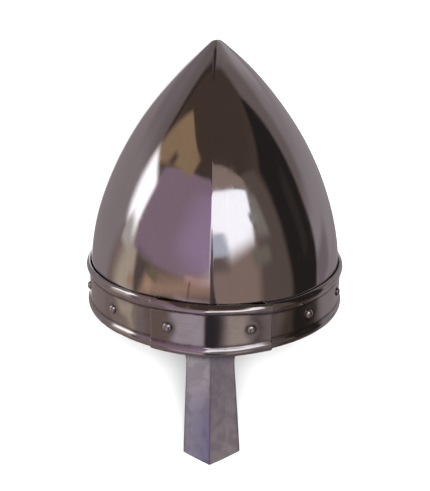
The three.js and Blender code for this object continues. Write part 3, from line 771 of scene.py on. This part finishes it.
skull_steel = steel(
    "skull_steel", (0.645, 0.61, 0.625), (0.59, 0.555, 0.57), (0.36, 0.335, 0.33), (0.10, 0.085, 0.08),
    0.045, (0.85, 0.012, 1.0), 0.012, 0.12, (0.015, 0.00002),
)
band_steel = steel(
    "band_steel", (0.60, 0.565, 0.575), (0.49, 0.455, 0.46), (0.34, 0.315, 0.31), (0.085, 0.07, 0.066),
    0.075, (0.05, 0.9, 1.0), 0.035, 0.25, (0.04, 0.00002),
)
nasal_steel = steel(
    "nasal_steel", (0.95, 0.965, 1.0), (0.69, 0.70, 0.75), (0.36, 0.335, 0.33), (0.10, 0.085, 0.085),
    0.30, (0.75, 0.03, 1.0), 0.06, 0.75, (0.10, 0.00003), 0.08, (0.20, 0.21, 0.48), 0.04,
)
rivet_steel = steel(
    "rivet_steel", (0.66, 0.63, 0.64), (0.56, 0.53, 0.54), (0.34, 0.315, 0.31), (0.09, 0.075, 0.072),
    0.13, (0.6, 0.6, 1.0), 0.05, 0.2, (0.08, 0.00002),
)

# ---------------------------------------------------------------- pieces

pieces = [
    (make_skull(skull_steel), "skull", "skull_steel"),
    (make_strip("band_strip", band_steel, BAND_ENDS, 1.0, BAND_INSIDE, "band", 0.6, 1.0, 21), "brow_band", "band_steel"),
    (make_strip("front_plate_strip", band_steel, PLATE_ENDS, 0.4, PLATE_INSIDE, "plate", 5.0, 1.3, 22), "front_plate", "band_steel"),
    (make_nasal(nasal_steel), "nasal", "nasal_steel"),
]
for k, (name, deg, through) in enumerate(RIVETS):
    pieces.append((make_rivet(name, deg, through, k, rivet_steel), name, "rivet_steel"))
for piece, node, slot in pieces:
    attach(piece, "root")
    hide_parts(node)

# ---------------------------------------------------------------- floor, light and camera


def make_floor():
    n, size = 48, 9.0
    g = np.linspace(-size, size, n)
    x, y = np.meshgrid(g, g)
    verts = np.stack([x, y, np.full_like(x, -0.0002)], -1).reshape(-1, 3)
    i = np.arange(n * n).reshape(n, n)
    quads = np.stack([i[:-1, :-1], i[:-1, 1:], i[1:, 1:], i[1:, :-1]], -1).reshape(-1, 4)
    me = bpy.data.meshes.new("floor")
    me.from_pydata(verts.tolist(), [], quads.tolist())
    ob = bpy.data.objects.new("floor", me)
    bpy.context.scene.collection.objects.link(ob)
    mat = bpy.data.materials.new("pale_floor")
    mat.use_nodes = True
    t = Tree(mat.node_tree)
    where = t.node("ShaderNodeTexCoord").outputs["Object"]
    tone = t.mix(t.noise(where, 9.0, 3.0), rgb(0.855, 0.855, 0.86), rgb(0.875, 0.875, 0.875))
    shader = t.node("ShaderNodeBsdfPrincipled")
    shader.inputs["Roughness"].default_value = 0.9
    shader.inputs["Specular IOR Level"].default_value = 0.0
    t.put(shader.inputs["Base Color"], tone)
    out = t.node("ShaderNodeOutputMaterial")
    t.put(out.inputs["Surface"], shader.outputs[0])
    me.materials.append(mat)
    ob.visible_glossy = False
    return ob


make_floor()


def lamp(name, place, aim, size, watts, colour=(1, 1, 1)):
    data = bpy.data.lights.new(name, "AREA")
    data.shape = "DISK"
    data.size = size
    data.energy = watts
    data.color = colour
    ob = bpy.data.objects.new(name, data)
    bpy.context.scene.collection.objects.link(ob)
    ob.location = place
    back = Matrix.Identity(3)
    d = np.array(place, float) - np.array(aim, float)
    d /= np.linalg.norm(d)
    side = np.cross([0.0, 1.0, 0.0] if abs(d[2]) > 0.99 else [0.0, 0.0, 1.0], d)
    side /= np.linalg.norm(side)
    up = np.cross(d, side)
    back = Matrix((side, up, d)).transposed()
    ob.rotation_mode = "QUATERNION"
    ob.rotation_quaternion = back.to_quaternion()
    ob.visible_glossy = False
    ob.visible_camera = False
    return ob


lamp("soft_top", (0.0, 0.0, 3.2), (0, 0, 0), 5.0, 50.0)
lamp("soft_front", (0.2, -2.4, 1.9), (0, 0, 0), 1.8, 150.0)


def lin(r, g, b):
    """Radiance of a card whose reflection in the skull's steel reads as this 8-bit colour."""
    def one(v, k):
        v /= 255.0
        return (v / 12.92 if v <= 0.04045 else ((v + 0.055) / 1.055) ** 2.4) / k
    return (one(r, 0.617), one(g, 0.583), one(b, 0.6), 1.0)


# Large soft cards round the helmet, laid one over the other. Each has the bearing its upright plane faces (from the
# camera's side, positive to the right), or None for one laid out by bearing and height in radians; its left, right,
# lower and upper edges; how soft they are; how they slant; and its colour, or its brightness for the white ones.
CARDS = [
    (None, (None, None, None, 0.56), (0.05, 0.05, 0.05, 0.49), (0, 0, 0, 0.01), (100, 84, 80)),
    (180, (0.1, 2.6, None, 1.98), (0.1, 0.1, 0.05, 0.2), (0, 0.07, 0, 0.14), (47, 38, 34)),
    (180, (0.1, 2.63, None, 1.6), (0.1, 0.08, 0.05, 0.22), (0, 0.07, 0, 0.14), (94, 85, 84)),
    (180, (-2.5, 0.1, None, 2.05), (0.09, 0.1, 0.05, 0.2), (0.5, 0, 0, 0), (94, 85, 84)),
    (None, (None, -1.74, None, 0.67), (0.05, 0.1, 0.05, 0.2), (0, 0.38, 0, 0.13), (119, 108, 110)),
    (None, (None, -2.2, 0.16, 0.62), (0.05, 0.15, 0.1, 0.12), (0, 0, 0, 0), (104, 94, 97)),
    (None, (2.1, None, None, 0.49), (0.1, 0.05, 0.05, 0.25), (0.53, 0, 0, 0.14), (118, 108, 111)),
    (None, (2.52, None, 0.16, 0.62), (0.14, 0.05, 0.1, 0.12), (0, 0, 0, 0), (141, 134, 137)),
    (None, (None, -2.71, None, 0.12), (0.05, 0.05, 0.05, 0.05), (0, 0, 0, 0), (226, 223, 226)),
    (None, (1.64, 2.95, -0.65, 0.02), (0.1, 0.09, 0.03, 0.12), (0.07, -0.16, 0.08, 0), (124, 115, 119)),
    (None, (1.82, 2.2, -0.46, -0.24), (0.06, 0.1, 0.04, 0.06), (0, 0, 0, 0), (100, 90, 95)),
    (None, (-1.63, -1.15, -0.66, 0.21), (0.12, 0.12, 0.12, 0.01), (0.32, 0.06, -0.16, -0.03), (155, 140, 128)),
    (None, (-1.04, 1.03, -0.08, 0.28), (0.12, 0.07, 0.03, 0.01), (0.03, 0.12, -0.17, 0.15), (73, 64, 67)),
    (None, (-1.22, -0.02, -1.07, -0.33), (0.08, 0.1, 0.04, 0.01), (0.06, -0.02, -0.16, -0.07), (108, 96, 97)),
    (None, (-0.07, 1.31, -1.07, -0.17), (0.11, 0.14, 0.09, 0.14), (0.22, -0.01, -0.1, -0.17), (89, 80, 86)),
    (None, (-2.33, -1.15, -0.8, -0.32), (0.14, 0.14, 0.12, 0.1), (0.24, 0.15, 0.15, 0.09), (116, 102, 102)),
    (None, (-0.64, -0.27, -0.4, 0.1), (0.06, 0.03, 0.12, 0.05), (0, 0, 0, 0), (152, 140, 149)),
    (None, (0.33, 0.56, -0.45, 0.1), (0.04, 0.05, 0.12, 0.05), (0, 0, 0, 0), (146, 132, 128)),
    (None, (0.68, 0.92, -0.45, 0), (0.08, 0.06, 0.1, 0.05), (0, 0, 0, 0), (106, 96, 98)),
    (None, (0.94, 1.49, -0.76, -0.24), (0.12, 0.12, 0.12, 0.04), (-0.14, -0.61, -0.21, -0.01), (62, 52, 47)),
    (None, (-0.23, 0.28, -0.3, 0.03), (0.03, 0.03, 0.08, 0.05), (0, 0, 0, 0), (42, 38, 41)),
    (-25, (-1.64, 0.97, 0.31, 2.01), (0.07, 0.07, 0.04, 0.07), (-0.25, -0.14, 0.07, 0.03), (119, 98, 112)),
    (-25, (-0.47, 0.9, 0.42, 1.55), (0.3, 0.08, 0.23, 0.11), (0.21, -0.12, -0.43, -0.3), (135, 113, 138)),
    (-80, (-0.46, 0.5, 1.15, 2.4), (0.09, 0.05, 0.09, 0.09), (-0.11, 0, 1.32, 0.3), (128, 105, 83)),
    (-80, (-0.13, 0.08, 1.13, 1.37), (0.05, 0.07, 0.05, 0.07), (-0.07, -0.13, 1.06, 0.93), (72, 59, 48)),
    (-25, (-1.55, 0.23, 0.13, 0.33), (0.12, 0.09, 0.12, 0.12), (0.21, 0, 0.33, 0.33), (141, 113, 98)),
    (None, (-1.14, -0.95, 0.07, 0.18), (0.03, 0.03, 0.02, 0.03), (0, 0, 0, 0), (99, 88, 70)),
    (None, (-1.16, -1.03, -0.06, 0.05), (0.03, 0.03, 0.03, 0.03), (0, 0, 0, 0), (154, 124, 102)),
    (None, (-0.52, -0.2, 0.26, 0.33), (0.03, 0.03, 0.02, 0.01), (0, 0, 0, 0), (155, 123, 121)),
    (None, (-0.46, -0.44, 0.08, 0.28), (0.01, 0.01, 0.02, 0.02), (0, 0, 0, 0), (96, 73, 67)),
    (None, (-1.36, -1.16, -0.3, 0.41), (0.05, 0.07, 0.04, 0.06), (-0.23, 0.37, 0.18, 0.19), (77, 66, 63)),
    (15, (-0.54, 1.03, 0.04, 0.54), (0.08, 0.06, 0.08, 0.03), (0.06, 0.08, -0.33, 0.6), (121, 101, 95)),
    (15, (0.6, 2.56, 0, 2.02), (0.13, 0.12, 0.07, 0.12), (0.2, -0.21, -0.28, 0.27), (80, 69, 64)),
    (15, (-0.6, 1.08, 1.83, 3.27), (0.1, 0.1, 0.07, 0.1), (0, -0.01, -0.11, -1.08), (125, 108, 102)),
    (15, (0.8, 1.25, 0.75, 1.6), (0.1, 0.12, 0.12, 0.15), (0, 0, 0, 0), (112, 104, 98)),
    (15, (-0.62, 0.49, 0.57, 1.87), (0.1, 0.05, 0.16, 0.04), (0, 0.28, 0.22, -0.2), (1.5, 1.53, 1.6)),
    (15, (0.73, 1, 1, 1.17), (0.04, 0.08, 0.06, 0.06), (0, 0, 0, 0), (122, 117, 115)),
    (15, (0.55, 1.05, 0.36, 0.6), (0.1, 0.1, 0.08, 0.08), (0, 0, 0, 0), (98, 92, 84)),
    (15, (-0.3, 0.15, 0.6, 0.92), (0.1, 0.04, 0.05, 0.05), (0, 0, 0, 0), (162, 164, 177)),
    (15, (-0.6, 0.14, 0.42, 0.61), (0.05, 0.05, 0.06, 0.04), (0, 0, 0, 0), (92, 78, 76)),
    (None, (1.33, 1.92, -0.45, 0.51), (0.05, 0.04, 0.1, 0.05), (0.16, 0.32, 0, 0.19), (33, 29, 28)),
    (None, (1.6, 1.74, -0.06, 0.45), (0.04, 0.04, 0.06, 0.08), (0.2, 0.3, 0, 0), (43, 38, 36)),
    (None, (-1.75, -1.54, 0.12, 0.57), (0.09, 0.05, 0.08, 0.05), (-0.2, 0, 0, 0), (1.95, 1.95, 2)),
    (-95, (-0.07, 0.11, -0.02, 0.22), (0.03, 0.08, 0.04, 0.08), (0.07, -0.09, 0.22, 0.23), (158, 150, 148)),
]


def make_world():
    """The studio seen in the polished steel. Lamps light the floor, so its cards only show in reflections."""
    world = bpy.data.worlds.new("studio")
    bpy.context.scene.world = world
    world.use_nodes = True
    t = Tree(world.node_tree)
    x, y, z = t.parts(t.node("ShaderNodeTexCoord").outputs["Generated"])
    layouts = {None: (t.math("ARCTAN2", x, t.math("MULTIPLY", y, -1.0)), t.math("ARCSINE", z))}

    def layout(bearing):
        if bearing not in layouts:
            s, c = math.sin(math.radians(bearing)), math.cos(math.radians(bearing))
            ahead = t.math("MAXIMUM", t.math("SUBTRACT", t.math("MULTIPLY", x, s), t.math("MULTIPLY", y, c)), 0.02)
            across = t.math("ADD", t.math("MULTIPLY", x, c), t.math("MULTIPLY", y, s))
            layouts[bearing] = (t.math("DIVIDE", across, ahead), t.math("DIVIDE", z, ahead))
        return layouts[bearing]

    def card(base, bearing, edges, soft, slant, colour):
        u, v = layout(bearing)
        share = None
        for i, (at, by, lean) in enumerate(zip(edges, soft, slant)):
            if at is None:
                continue
            a, b = (u, v) if i < 2 else (v, u)
            if lean:
                a = t.math("MULTIPLY_ADD", b, -lean, a)
            m = t.span(a, at - by, at + by, *((0.0, 1.0) if i % 2 == 0 else (1.0, 0.0)))
            share = m if share is None else t.math("MULTIPLY", share, m)
        return t.mix(share, base, lin(*colour) if max(colour) > 8 else rgb(*colour))

    c = lin(61, 49, 43)
    for row in CARDS:
        c = card(c, *row)
    path = t.node("ShaderNodeLightPath")
    c = t.mix(path.outputs["Is Camera Ray"], c, (0.93, 0.93, 0.93, 1.0))
    c = t.mix(path.outputs["Is Diffuse Ray"], c, (0.85, 0.85, 0.85, 1.0))
    shade = t.node("ShaderNodeBackground")
    t.put(shade.inputs["Color"], c)
    out = t.node("ShaderNodeOutputWorld")
    t.put(out.inputs["Surface"], shade.outputs[0])
    return world


make_world()
bpy.context.scene.view_settings.view_transform = "Standard"


def make_camera():
    """The photograph's view: set out round the upright helmet, then carried over to the helmet at rest."""
    e, az, roll = math.radians(17.692), math.radians(1.212), math.radians(0.529)
    reach, side, rise, focal = 600.0, 0.035, 41.005, 741.731
    out = np.array([math.sin(az) * math.cos(e), -math.cos(az) * math.cos(e), math.sin(e)])
    right = np.cross(-out, [0, 0, 1.0])
    right /= np.linalg.norm(right)
    up = np.cross(right, -out)
    r2 = math.cos(roll) * right + math.sin(roll) * up
    u2 = -math.sin(roll) * right + math.cos(roll) * up
    place = side * right + np.array([0, 0, rise]) + reach * out
    origin = at_rest(np.zeros(3))
    turn = lambda v: (at_rest(v) - origin) * 1000.0
    data = bpy.data.cameras.new("camera")
    data.sensor_fit = "HORIZONTAL"
    data.sensor_width = 36.0
    data.lens = focal * 36.0 / 430.0
    ob = bpy.data.objects.new("camera", data)
    bpy.context.scene.collection.objects.link(ob)
    m = np.eye(4)
    m[:3, 0], m[:3, 1], m[:3, 2], m[:3, 3] = turn(r2), turn(u2), turn(out), at_rest(place)
    ob.matrix_world = Matrix(m.tolist())
    bpy.context.scene.camera = ob


make_camera()

bpy.context.view_layer.update()
